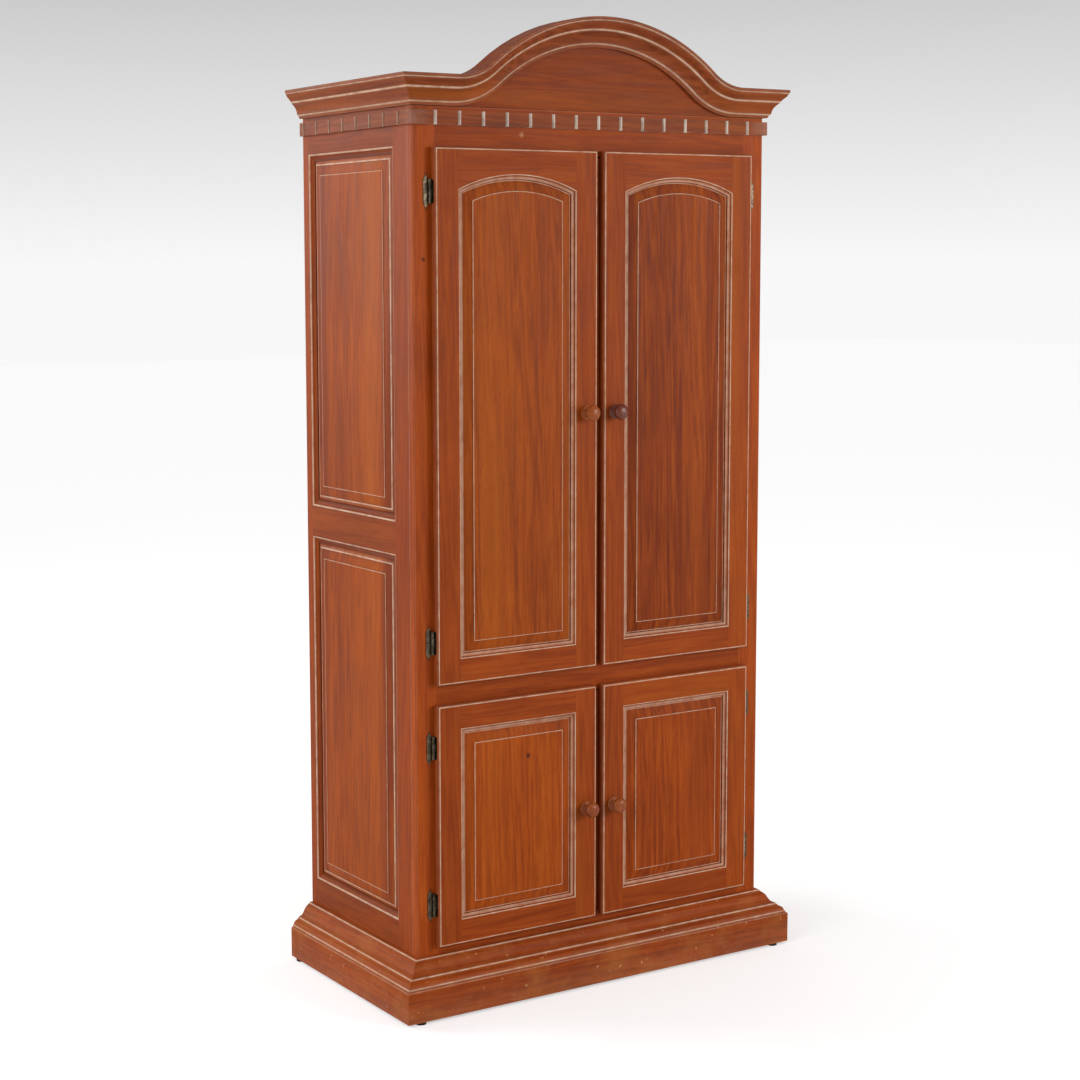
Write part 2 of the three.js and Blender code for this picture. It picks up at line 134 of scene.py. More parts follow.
WEAR_LAYERS = (
    Wear(Speckle(11.0, 5.0), (0.48, 0.72), 0.45, HAZE_COLOUR),
    Wear(Speckle(60.0, 5.0), (0.58, 0.72), 0.35, UMBER, stretch=(0.35, 0.35, 1.6)),
    Wear(Speckle(70.0, 6.0), (0.665, 0.70), 0.75, WEAR_COLOUR),
)


@dataclass(frozen=True)
class Mark:
    """A small knot or nick at one place on the wood."""

    place: Point
    radius: float
    colour: Colour
    share: float
    core_share: float = 0.8
    rim_share: float = 1.6
    ragged_scale: float = 220.0

    def paint(self, nodes: "NodeTree", place: Socket, colour: Socket) -> Socket:
        """Paints the mark.

        Args:
            nodes: the tree being built.
            place: the coordinates of the surface.
            colour: the wood's colour.

        Returns:
            The colour with the mark on it.
        """
        ragged = nodes.add("ShaderNodeTexNoise", {"Vector": place, "Scale": self.ragged_scale})
        away = nodes.add("ShaderNodeVectorMath", {0: place, 1: self.place}, operation="DISTANCE")
        values = {0: ragged.outputs["Fac"], 1: self.radius, 2: away.outputs["Value"]}
        reach = nodes.add("ShaderNodeMath", values, operation="MULTIPLY_ADD")
        span = (self.radius * self.core_share, self.radius * self.rim_share)
        return nodes.tint(reach.outputs[0], span, (self.share, 0.0), colour, self.colour)


@dataclass(frozen=True)
class WoodFinish:
    """Stained, glued-up pine with whitewash, and painted shade, in the edges that carry the wash-and-shade
    mark.
    """

    name: str
    dark: Colour
    middle: Colour
    light: Colour
    grain: Grain
    strip: float = 0.0
    strip_contrast: float = 0.0
    wear: float = 0.0
    figure: float = 1.0
    roughness: float = 0.48
    coat: float = 0.0
    marks: Tuple[Mark, ...] = ()
    wash_colour: Colour = WASH_COLOUR

    GRAIN_STRETCH = 0.055
    ONE_BOARD = 5.0
    RINGS = {"Scale": 26.0, "Distortion": 14.0, "Detail": 4.0, "Detail Scale": 1.6}
    RING_SHARE = 0.22
    FIBRE_SHARE = 0.30
    RAMP_MIDDLE = 0.5
    DARK_REACH = 0.18
    LIGHT_REACH = 0.20
    BLOTCH_TONES = (0.90, 1.10)
    LIGHT_STRIP_SHARE = 0.7
    TINTED_STRIPS = (0.2, 1.0)
    STRIP_TINT_SHARE = 2.2
    DARK_CLOUDS = (0.50, 0.66)
    DARK_CLOUD_SHARE = 0.65
    LIGHT_CLOUDS = (0.47, 0.32)
    LIGHT_CLOUD_SHARE = 0.50
    PORES = (0.60, 0.72)
    PORE_SHARE = 0.45
    SMOOTHER = 0.05
    ROUGHER = 0.08
    PORE_RELIEF_SHARE = 0.5
    RELIEF = (0.10, 0.0006)
    WASHED_PATCHES = (0.32, 0.62)
    WASH_AMOUNTS = (0.50, 1.0)
    # How far the painted shade in the quirks darkens the wood.
    PAINTED_SHADE_SHARE = 0.9

    def build(self) -> Material:
        """Makes the material.

        Returns:
            A node material with grain, glued strips, whitewash, painted shade in the quirks, wear and a fine
            bump.
        """
        nodes = NodeTree(bpy.data.materials.new(self.name))
        place = nodes.place()
        stretch = [1.0, 1.0, 1.0]
        stretch[self.grain.value] = self.GRAIN_STRETCH
        grained = nodes.scaled(place, stretch)
        board = self._boards(nodes, place)
        shifted = nodes.add("ShaderNodeVectorMath", {0: grained, 1: board.outputs["Color"]}, operation="ADD")
        moved = shifted.outputs["Vector"]
        rings = nodes.add("ShaderNodeTexWave", {"Vector": moved, **self.RINGS}, wave_type="BANDS",
                          bands_direction="DIAGONAL")
        fibre = nodes.noise(moved, FIBRE)
        streak = nodes.noise(moved, STREAK)
        figure = nodes.mix_value(self.RING_SHARE, streak, rings.outputs["Fac"])
        figure = nodes.mix_value(self.FIBRE_SHARE, figure, fibre)
        colour = self._tones(nodes, place, grained, board, figure)
        pores = nodes.noise(grained, PORE)
        colour = nodes.tint(pores, self.PORES, (0.0, self.PORE_SHARE), colour, self.dark)
        for mark in self.marks:
            colour = mark.paint(nodes, place, colour)
        roughness = (self.roughness - self.SMOOTHER, self.roughness + self.ROUGHER)
        nodes.shader({
            "Base Color": self._wash_and_shade(nodes, place, colour),
            "Roughness": nodes.map_range(streak, MIDDLE_SPAN, roughness),
            "Coat Weight": self.coat,
            "Coat Roughness": COAT_ROUGHNESS,
            "Specular IOR Level": SHEEN,
            "Normal": nodes.bump(nodes.mix_value(self.PORE_RELIEF_SHARE, fibre, pores), *self.RELIEF),
        })
        return nodes.owner

    def _boards(self, nodes: "NodeTree", place: Socket) -> Node:
        """Gives each glued strip a tone of its own.

        Args:
            nodes: the tree being built.
            place: the coordinates of the surface.

        Returns:
            A white noise node, with one value for each strip.
        """
        split = nodes.add("ShaderNodeSeparateXYZ", {0: place})
        across = split.outputs["X" if self.grain is Grain.UPRIGHT else "Z"]
        if self.strip and self.grain is Grain.UPRIGHT:
            across = nodes.math("ADD", split.outputs["X"], split.outputs["Y"])
        cell = nodes.math("DIVIDE", across, self.strip or self.ONE_BOARD)
        floor = nodes.add("ShaderNodeMath", {0: cell}, operation="FLOOR")
        return nodes.add("ShaderNodeTexWhiteNoise", {"W": floor.outputs[0]}, noise_dimensions="1D")

    def _tones(self, nodes: "NodeTree", place: Socket, grained: Socket, board: Node,
               figure: Socket) -> Socket:
        """Colours the grain, the strips and the clouds of the stain.

        Args:
            nodes: the tree being built.
            place: the coordinates of the surface.
            grained: the coordinates drawn out along the grain.
            board: the node that tells the glued strips apart.
            figure: the grain's value.

        Returns:
            The stained wood's colour.
        """
        toned = nodes.ramp(figure, [
            (self.RAMP_MIDDLE - self.DARK_REACH * self.figure, self.dark),
            (self.RAMP_MIDDLE, self.middle),
            (self.RAMP_MIDDLE + self.LIGHT_REACH * self.figure, self.light),
        ])
        strips = (1.0 - self.strip_contrast, 1.0 + self.strip_contrast * self.LIGHT_STRIP_SHARE)
        for value, span, tones in (
            (nodes.noise(place, BLOTCH), MIDDLE_SPAN, self.BLOTCH_TONES),
            (board.outputs["Value"], WHOLE_SPAN, strips),
        ):
            toned = nodes.multiply_colour(toned, nodes.map_range(value, span, tones))
        tint = nodes.add("ShaderNodeSeparateXYZ", {0: board.outputs["Color"]}).outputs["X"]
        cloud = nodes.noise(grained, CLOUD)
        for value, span, share, tone in (
            (tint, self.TINTED_STRIPS, self.strip_contrast * self.STRIP_TINT_SHARE, AMBER),
            (cloud, self.DARK_CLOUDS, self.DARK_CLOUD_SHARE / self.figure ** 2, UMBER),
            (cloud, self.LIGHT_CLOUDS, self.LIGHT_CLOUD_SHARE / self.figure, AMBER),
        ):
            toned = nodes.tint(value, span, (0.0, share), toned, tone)
        return toned

    def _wash_and_shade(self, nodes: "NodeTree", place: Socket, colour: Socket) -> Socket:
        """Lays whitewash where the mesh is marked, broken up as a wiped finish is, painted shade where the
        mark is below nought, and wear.

        Args:
            nodes: the tree being built.
            place: the coordinates of the surface.
            colour: the wood's colour.

        Returns:
            The colour with whitewash, painted shade and wear.
        """
        mark = nodes.add("ShaderNodeAttribute", attribute_name=WASH_AND_SHADE_MARK).outputs["Fac"]
        patches = nodes.map_range(nodes.noise(place, PATCH), self.WASHED_PATCHES, self.WASH_AMOUNTS)
        amount = nodes.math("MULTIPLY", nodes.map_range(mark, WHOLE_SPAN, WHOLE_SPAN), patches)
        # Painted shade: where the mark is below nought, the colour darkens towards the painted shade colour.
        with_painted_shade = nodes.tint(mark, (0.0, -1.0), (0.0, self.PAINTED_SHADE_SHARE), colour, PAINTED_SHADE)
        washed_and_shaded = nodes.mix_colour(amount, with_painted_shade, self.wash_colour)
        for layer in WEAR_LAYERS if self.wear else ():
            washed_and_shaded = layer.lay(nodes, place, washed_and_shaded, self.wear)
        return washed_and_shaded


@dataclass(frozen=True)
class MottledFinish:
    """Brass rubbed brighter in patches, or faintly mottled plastic."""

    name: str
    dark: Colour
    light: Colour
    speckle: Speckle
    ends: Span
    roughness: Span
    relief: Span
    metallic: float = 0.0
    sheen: float = SHEEN

    def build(self) -> Material:
        """Makes the material.

        Returns:
            A node material with patchy colour and roughness.
        """
        nodes = NodeTree(bpy.data.materials.new(self.name))
        patches = nodes.noise(nodes.place(), self.speckle)
        nodes.shader({
            "Base Color": nodes.ramp(patches, list(zip(self.ends, (self.dark, self.light)))),
            "Roughness": nodes.map_range(patches, MIDDLE_SPAN, self.roughness),
            "Metallic": self.metallic,
            "Specular IOR Level": self.sheen,
            "Normal": nodes.bump(patches, *self.relief),
        })
        return nodes.owner


class NodeTree:
    """A material's or world's node tree, with short ways to add what the finishes use."""

    def __init__(self, owner: Union[Material, bpy.types.World]) -> None:
        """Starts an empty node tree.

        Args:
            owner: the material or world that it belongs to.
        """
        self.owner = owner
        owner.use_nodes = True
        self.tree = owner.node_tree
        self.tree.nodes.clear()

    def add(self, kind: str, inputs: Optional[Inputs] = None, **settings: object) -> Node:
        """Adds a node.

        Args:
            kind: the node's type.
            inputs: what goes into its inputs: a socket is linked, and a plain value is set.
            settings: properties to set on it.

        Returns:
            The new node.
        """
        node = self.tree.nodes.new(kind)
        for key, value in settings.items():
            setattr(node, key, value)
        for key, value in (inputs or {}).items():
            if isinstance(value, bpy.types.NodeSocket):
                self.tree.links.new(value, node.inputs[key])
            else:
                node.inputs[key].default_value = value
        return node

    def place(self) -> Socket:
        """Gives the coordinates of the surface."""
        return self.add("ShaderNodeTexCoord").outputs["Object"]

    def scaled(self, place: Socket, stretch: Sequence[float]) -> Socket:
        """Gives coordinates scaled along the axes."""
        return self.add("ShaderNodeMapping", {"Vector": place, "Scale": stretch}).outputs["Vector"]

    def noise(self, place: Socket, speckle: Speckle) -> Socket:
        """Gives a noise texture's value."""
        fineness = {"Scale": speckle.scale, "Detail": speckle.detail, "Roughness": NOISE_ROUGHNESS}
        return self.add("ShaderNodeTexNoise", {"Vector": place, **fineness}).outputs["Fac"]

    def math(self, operation: str, first: Socket, second: Feed) -> Socket:
        """Gives the result of an operation on two values."""
        return self.add("ShaderNodeMath", {0: first, 1: second}, operation=operation).outputs[0]

    def map_range(self, value: Socket, span: Span, becomes: Span) -> Socket:
        """Gives a value mapped from one range to another, clamped."""
        ends = dict(zip(("From Min", "From Max", "To Min", "To Max"), (*span, *becomes)))
        return self.add("ShaderNodeMapRange", {"Value": value, **ends}).outputs["Result"]

    def mix_value(self, share: float, first: Socket, second: Socket) -> Socket:
        """Gives a blend of two values."""
        return self.add("ShaderNodeMix", {0: share, 2: first, 3: second}, data_type="FLOAT").outputs[0]

    def mix_colour(self, share: Socket, colour: Socket, other: Colour) -> Socket:
        """Gives a colour blended towards a fixed one."""
        return self.add("ShaderNodeMix", {0: share, 6: colour, 7: (*other, 1.0)}, data_type="RGBA").outputs[2]

    def tint(self, value: Socket, span: Span, shares: Span, colour: Socket, other: Colour) -> Socket:
        """Gives a colour blended towards a fixed one, by a share that a value sets."""
        return self.mix_colour(self.map_range(value, span, shares), colour, other)

    def multiply_colour(self, colour: Socket, value: Socket) -> Socket:
        """Gives a colour multiplied by a value."""
        inputs = {0: colour, "Scale": value}
        return self.add("ShaderNodeVectorMath", inputs, operation="SCALE").outputs["Vector"]

    def ramp(self, value: Socket, stops: Sequence[Tuple[float, Colour]]) -> Socket:
        """Turns a value into a colour.

        Args:
            value: the value.
            stops: places along the ramp and their colours.

        Returns:
            The colour.
        """
        node = self.add("ShaderNodeValToRGB", {"Fac": value})
        elements = node.color_ramp.elements
        while len(elements) < len(stops):
            elements.new(stops[1][0])
        for element, (position, colour) in zip(elements, stops):
            element.position = position
            element.color = (*colour, 1.0)
        return node.outputs["Color"]

    def bump(self, height: Socket, strength: float, distance: float) -> Socket:
        """Gives the normal of a fine relief, from its strength and its depth in metres."""
        inputs = {"Height": height, "Strength": strength, "Distance": distance}
        return self.add("ShaderNodeBump", inputs).outputs["Normal"]

    def shader(self, inputs: Inputs) -> None:
        """Adds the surface shader and the output."""
        self.output(self.add("ShaderNodeBsdfPrincipled", inputs))

    def output(self, shader: Node, kind: str = "ShaderNodeOutputMaterial") -> None:
        """Adds the output behind a shader."""
        self.add(kind, {"Surface": shader.outputs[0]})

    def seen(self) -> Socket:
        """Tells the rays that see a thing from those that light it.

        Returns:
            1 for camera, glossy and transmission rays, and 0 for the others.
        """
        rays = self.add("ShaderNodeLightPath").outputs
        either = self.math("MAXIMUM", rays["Is Camera Ray"], rays["Is Glossy Ray"])
        return self.math("MAXIMUM", either, rays["Is Transmission Ray"])


def toned(colours: Sequence[Colour], share: float) -> List[Colour]:
    """Gives a finish's colours multiplied by a share: a lighter or darker copy that paints light or shade
    onto the parts that wear it.
    """
    return [(red * share, green * share, blue * share) for red, green, blue in colours]


class Palette:
    """Every finish of the armoire, made once and handed out by name."""

    RED = ((0.175, 0.026, 0.003), (0.272, 0.045, 0.004), (0.345, 0.070, 0.008))
    PANEL = ((0.140, 0.019, 0.002), (0.262, 0.042, 0.003), (0.350, 0.072, 0.007))
    TRIM = ((0.115, 0.022, 0.005), (0.200, 0.042, 0.011), (0.275, 0.066, 0.018))
    INSIDE = ((0.22, 0.085, 0.030), (0.31, 0.130, 0.050), (0.39, 0.180, 0.078))
    KNOB = ((0.17, 0.034, 0.007), (0.255, 0.060, 0.011), (0.32, 0.086, 0.019))
    DARK_KNOB = ((0.060, 0.014, 0.009), (0.115, 0.028, 0.017), (0.19, 0.050, 0.030))
    STILE_KNOT = Mark(place=(-0.463, -0.2205, 1.697), radius=0.006, colour=KNOT_COLOUR, share=0.85)
    RAIL_NICK = Mark(place=(-0.205, -0.2205, 1.972), radius=0.007, colour=WEAR_COLOUR, share=0.45)
    PANEL_KNOT = Mark(place=(-0.201, -0.2395, 0.566), radius=0.008, colour=KNOT_COLOUR, share=0.90)

    def __init__(self) -> None:
        """Builds the materials."""
        upright, across, deep = Grain.UPRIGHT, Grain.ACROSS, Grain.DEEP
        finishes = [
            WoodFinish("frame_upright", *self.RED, upright, strip=0.31, strip_contrast=0.04, figure=1.35),
            # Painted light: a copy of the frame finish 1.2 times lighter, lifting the face frame's stiles.
            WoodFinish("lit_stile_upright", *toned(self.RED, share=1.20), upright, figure=1.45,
                       marks=(self.STILE_KNOT,)),
            WoodFinish("frame_across", *self.RED, across, figure=1.35, marks=(self.RAIL_NICK,)),
            # Painted shade: a darker copy of the frame finish on the side frames' rails, for the shade near
            # the top of the cabinet.
            WoodFinish("shaded_frame_deep", *toned(self.RED, share=0.76), deep, figure=1.35),
            # Painted shade: a darker copy of the frame finish on the arched frieze, for the light falling off
            # towards the top.
            WoodFinish("shaded_frieze_across", *toned(self.RED, share=0.76), across, figure=1.35),
            WoodFinish("panel_upright", *self.PANEL, upright, strip=0.071, strip_contrast=0.20),
            # Painted light: a lighter copy of the panel finish on the lower doors' panels, for the stronger
            # light low down; the knot is real.
            WoodFinish("lit_low_panel_upright", *toned(self.PANEL, share=1.18), upright, strip=0.071,
                       strip_contrast=0.13, figure=1.2, marks=(self.PANEL_KNOT,)),
            WoodFinish("trim_across", *self.TRIM, across, wear=0.08, figure=1.2),
            WoodFinish("trim_deep", *self.TRIM, deep, wear=0.10, figure=1.2),
            WoodFinish("dentil_across", *self.TRIM, across, wear=0.08, figure=1.2,
                       wash_colour=SLOT_WASH_COLOUR),
            WoodFinish("cap_across", *self.RED, across, wear=0.75, figure=1.2, roughness=0.46),
            WoodFinish("cap_deep", *self.RED, deep, wear=0.65, figure=1.2, roughness=0.46),
            WoodFinish("plinth_across", *self.RED, across, wear=1.0, figure=1.1, roughness=0.46),
            WoodFinish("plinth_deep", *self.RED, deep, wear=0.8, figure=1.1, roughness=0.46),
            WoodFinish("knob_wood", *self.KNOB, deep, roughness=0.24, coat=0.25),
            WoodFinish("dark_knob_wood", *self.DARK_KNOB, deep, roughness=0.24, coat=0.45),
            WoodFinish("inside_across", *self.INSIDE, across, roughness=0.6),
            WoodFinish("inside_upright", *self.INSIDE, upright, roughness=0.6),
            MottledFinish("antique_brass", dark=(0.040, 0.031, 0.021), light=(0.135, 0.105, 0.070),
                          speckle=Speckle(160.0, 4.0), ends=(0.40, 0.70), roughness=(0.52, 0.32),
                          relief=(0.25, 0.0004), metallic=1.0, sheen=METAL_SHEEN),
            MottledFinish("glide_plastic", dark=(0.018, 0.014, 0.011), light=(0.035, 0.028, 0.022),
                          speckle=Speckle(300.0, 3.0), ends=(0.35, 0.65), roughness=(0.6, 0.6),
                          relief=(0.2, 0.0003)),
        ]
        self.materials = {finish.name: finish.build() for finish in finishes}

    def get(self, *names: str) -> List[Material]:
        """Gives the named materials."""
        return [self.materials[name] for name in names]


@dataclass(frozen=True)
class Face:
    """A flat face of the cabinet: a place across it, a height and a depth into the wood make a point."""

    origin: Point
    across: Point
    inward: Point

    def point(self, across: float, height: float, depth: float) -> Vector:
        """Gives the point in the frame."""
        place = Vector(self.origin) + Vector(self.across) * across + Vector(self.inward) * depth
        return Vector((place.x, place.y, height))


def front_face(y: float) -> Face:
    """Gives the face that looks forwards at a depth."""
    return Face((0.0, y, 0.0), (1.0, 0.0, 0.0), (0.0, 1.0, 0.0))


def side_face(side: str, low: Vector, high: Vector) -> Face:
    """Gives the outer face of a piece at one side of the cabinet, from the corners of its box."""
    x = low.x if side == "left" else high.x
    return Face((x, 0.0, 0.0), (0.0, 1.0, 0.0), (-float(SIDES[side]), 0.0, 0.0))


@dataclass
class Opening:
    """The outline of a panel opening, with an arched head if it has a rise."""

    left: float
    right: float
    bottom: float
    top: float
    rise: float = 0.0
    arch_steps: int = 28

    def outline(self, offset: float) -> List[Span]:
        """Gives the outline moved inwards.

        Args:
            offset: how far inwards.

        Returns:
            Points from the bottom left, anticlockwise, always as many.
        """
        points = [(self.left + offset, self.bottom + offset), (self.right - offset, self.bottom + offset)]
        if not self.rise:
            return points + [(end, self.top - offset) for end in (self.right - offset, self.left + offset)]
        half = (self.right - self.left) / 2
        radius = (half * half + self.rise * self.rise) / (2 * self.rise)
        inner = radius - offset
        spread = math.asin((half - offset) / inner)
        middle = (self.left + self.right) / 2
        for i in range(self.arch_steps + 1):
            angle = spread * (1 - 2 * i / self.arch_steps)
            points.append((middle + inner * math.sin(angle), self.top - radius + inner * math.cos(angle)))
        return points


def run_slot(start: Vector, end: Vector) -> int:
    """Gives slot 0, the upright finish, to faces along an upright edge, and slot 1 to the others."""
    return 0 if abs(end.z - start.z) > max(abs(end.x - start.x), abs(end.y - start.y)) else 1


def first_slot(_start: Vector, _end: Vector) -> int:
    """Gives every face the first finish."""
    return 0


class Shell:
    """Gathers the points, whitewash and painted-shade marks and faces of one mesh."""

    def __init__(self) -> None:
        """Starts an empty shell."""
        self.points: List[Vector] = []
        self.wash_and_shade: List[float] = []
        self.faces: List[List[int]] = []
        self.slots: List[int] = []

    def loop(self, points: Sequence[Vector], wash_and_shade: float) -> List[int]:
        """Adds points that share one mark: whitewash above nought, painted shade below.

        Args:
            points: the points.
            wash_and_shade: their mark, whitewash above nought and painted shade below.

        Returns:
            Their numbers.
        """
        start = len(self.points)
        self.points.extend(points)
        self.wash_and_shade.extend([wash_and_shade] * len(points))
        return list(range(start, len(self.points)))

    def chain(self, loops: Sequence[List[int]], slot: Slotter) -> None:
        """Joins closed loops of equal length with faces, each to the next.

        Args:
            loops: the loops.
            slot: gives a face's material slot from the ends of its first edge.
        """
        count = len(loops[0])
        for first, second in zip(loops, loops[1:]):
            for i in range(count):
                j = (i + 1) % count
                self.faces.append([first[i], first[j], second[j], second[i]])
                self.slots.append(slot(self.points[first[i]], self.points[first[j]]))

    def tube(self, loops: Sequence[List[int]]) -> None:
        """Joins closed loops, each to the next, and closes both ends.

        Args:
            loops: the loops.
        """
        self.chain(loops, first_slot)
        self.fill(loops[0])
        self.fill(loops[-1])

    def fill(self, ids: List[int], slot: int = 0) -> None:
        """Closes a loop with one face."""
        self.faces.append(ids)
        self.slots.append(slot)

    def sweep(self, stations: List[List[Vector]], wash_and_shade_values: Sequence[float]) -> None:
        """Lays a closed profile along its stations and caps its ends.

        Args:
            stations: the profile's points at each station.
            wash_and_shade_values: the whitewash and painted-shade mark of each profile point.
        """
        self.tube([[self.loop([place], wash_and_shade)[0] for place, wash_and_shade in zip(station, wash_and_shade_values)]
                   for station in stations])

    def build(self, name: str, materials: List[Material], body: str, slot: str, node: str) -> None:
        """Makes the piece, smooth between sharp edges, on its body and in place of its CAD node.

        Args:
            name: the piece's name.
            materials: its finishes.
            body: the body that it rides on.
            slot: the record's material slot; not used.
            node: the CAD node that it replaces.
        """
        mesh = bpy.data.meshes.new(name)
        mesh.from_pydata([tuple(p) for p in self.points], [], self.faces)
        mesh.attributes.new(WASH_AND_SHADE_MARK, "FLOAT", "POINT").data.foreach_set("value", self.wash_and_shade)
        for material in materials:
            mesh.materials.append(material)
        mesh.polygons.foreach_set("material_index", self.slots)
        work = bmesh.new()
        work.from_mesh(mesh)
        bmesh.ops.remove_doubles(work, verts=work.verts, dist=SAME_PLACE)
        bmesh.ops.recalc_face_normals(work, faces=work.faces)
        for face in work.faces:
            face.smooth = True
        for edge in work.edges:
            edge.smooth = len(edge.link_faces) == 2 and edge.calc_face_angle() < SHARP_ANGLE
        work.to_mesh(mesh)
        work.free()
        piece = bpy.data.objects.new(name, mesh)
        bpy.context.scene.collection.objects.link(piece)
        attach(piece, body)
        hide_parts(node)
        LOG.info("%s on %s", name, body)


@dataclass
class FramedBoard:
    """Stiles and rails round one or more openings with moulded edges, and a raised panel in each."""

    face: Face
    left: float
    right: float
    bottom: float
    top: float
    thickness: float
    openings: List[Opening]
    sticking: Sequence[Step]
    round_edge: float
    edge_wash: float
    panel: Sequence[Step] = ()
    panel_back: float = 0.0
    arris_steps: int = 6
    washed_steps: int = 2
    flat_margin: float = 0.0012
    unwashed_share: float = 0.12

    def frame_shell(self) -> Shell:
        """Builds the frame.

        Returns:
            A closed shell with uprights in slot 0 and rails in slot 1.
        """
        shell = Shell()
        radius = self.round_edge
        rings = [self._outer(shell, radius + self.flat_margin, 0.0, 0.0)]
        for step in range(self.arris_steps):
            angle = math.pi / 2 * step / (self.arris_steps - 1)
            wash_and_shade = self.edge_wash if step < self.washed_steps else self.edge_wash * self.unwashed_share
            inset, depth = radius - radius * math.sin(angle), radius - radius * math.cos(angle)
            rings.append(self._outer(shell, inset, depth, wash_and_shade))
        rings.append(self._outer(shell, 0.0, self.thickness, 0.0))
        shell.chain(rings, run_slot)
        edges = [self._edge(shell, opening) for opening in self.openings]
        self._faces(shell, rings[0], [edge[0] for edge in edges], 0.0)
        self._faces(shell, rings[-1], [edge[-1] for edge in edges], self.thickness)
        return shell

    def panel_shell(self, opening: Opening) -> Shell:
        """Builds the raised panel of an opening.

        Args:
            opening: the opening.

        Returns:
            A closed shell.
        """
        shell = Shell()
        rear = (self.panel[0][0], self.panel_back, 0.0)
        shell.tube([self._ring(shell, opening, step) for step in (rear, *self.panel)])
        return shell

    def _ring(self, shell: Shell, opening: Opening, step: Step) -> List[int]:
        """Adds an opening's outline, as far inwards and as deep as the step says, with its mark: whitewash
        above nought, painted shade below.
        """
        offset, depth, wash_and_shade = step
        return shell.loop([self.face.point(a, h, depth) for a, h in opening.outline(offset)], wash_and_shade)

    def _outer(self, shell: Shell, inset: float, depth: float, wash_and_shade: float) -> List[int]:
        """Adds the outer outline at an inset and a depth, and gives the numbers of its points."""
        corners = [(self.left + inset, self.bottom + inset), (self.right - inset, self.bottom + inset),
                   (self.right - inset, self.top - inset), (self.left + inset, self.top - inset)]
        return shell.loop([self.face.point(a, h, depth) for a, h in corners], wash_and_shade)

    def _edge(self, shell: Shell, opening: Opening) -> List[List[int]]:
        """Adds the moulded edge of an opening.

        Args:
            shell: the shell being built.
            opening: the opening.

        Returns:
            Its loops, from front to rear.
        """
        rear = (self.sticking[-1][0], self.thickness, 0.0)
        rings = [self._ring(shell, opening, step) for step in (*self.sticking, rear)]
        shell.chain(rings, run_slot)
        return rings

    def _faces(self, shell: Shell, outer: List[int], loops: List[List[int]], depth: float) -> None:
        """Adds the flat stiles and rails between the outer outline and the openings.

        Args:
            shell: the shell being built.
            outer: the outer outline's points.
            loops: the openings' outlines, from the lowest up.
            depth: how deep the faces lie.
        """
        low_left, low_right, high_right, high_left = outer
        sides = [number for loop in loops for number in (loop[0], loop[-1])]
        others = [number for loop in loops for number in (loop[1], loop[2])]
        foot = shell.loop([self._level(shell, number, low_left, depth) for number in loops[0][:2]], 0.0)
        head = shell.loop([self._level(shell, loops[-1][i], high_left, depth) for i in (-1, 2)], 0.0)
        shell.fill([low_left, foot[0], *sides, head[0], high_left])
        shell.fill([low_right, foot[1], *others, head[1], high_right])
        shell.fill([foot[0], foot[1], loops[0][1], loops[0][0]], 1)
        for lower, upper in zip(loops, loops[1:]):
            shell.fill([*lower[2:], upper[0], upper[1]], 1)
        shell.fill([*loops[-1][2:], head[0], head[1]], 1)

    def _level(self, shell: Shell, number: int, corner: int, depth: float) -> Vector:
        """Gives the point straight below or above a point, level with a corner."""
        across = (shell.points[number] - Vector(self.face.origin)).dot(Vector(self.face.across))
        return self.face.point(across, shell.points[corner].z, depth)


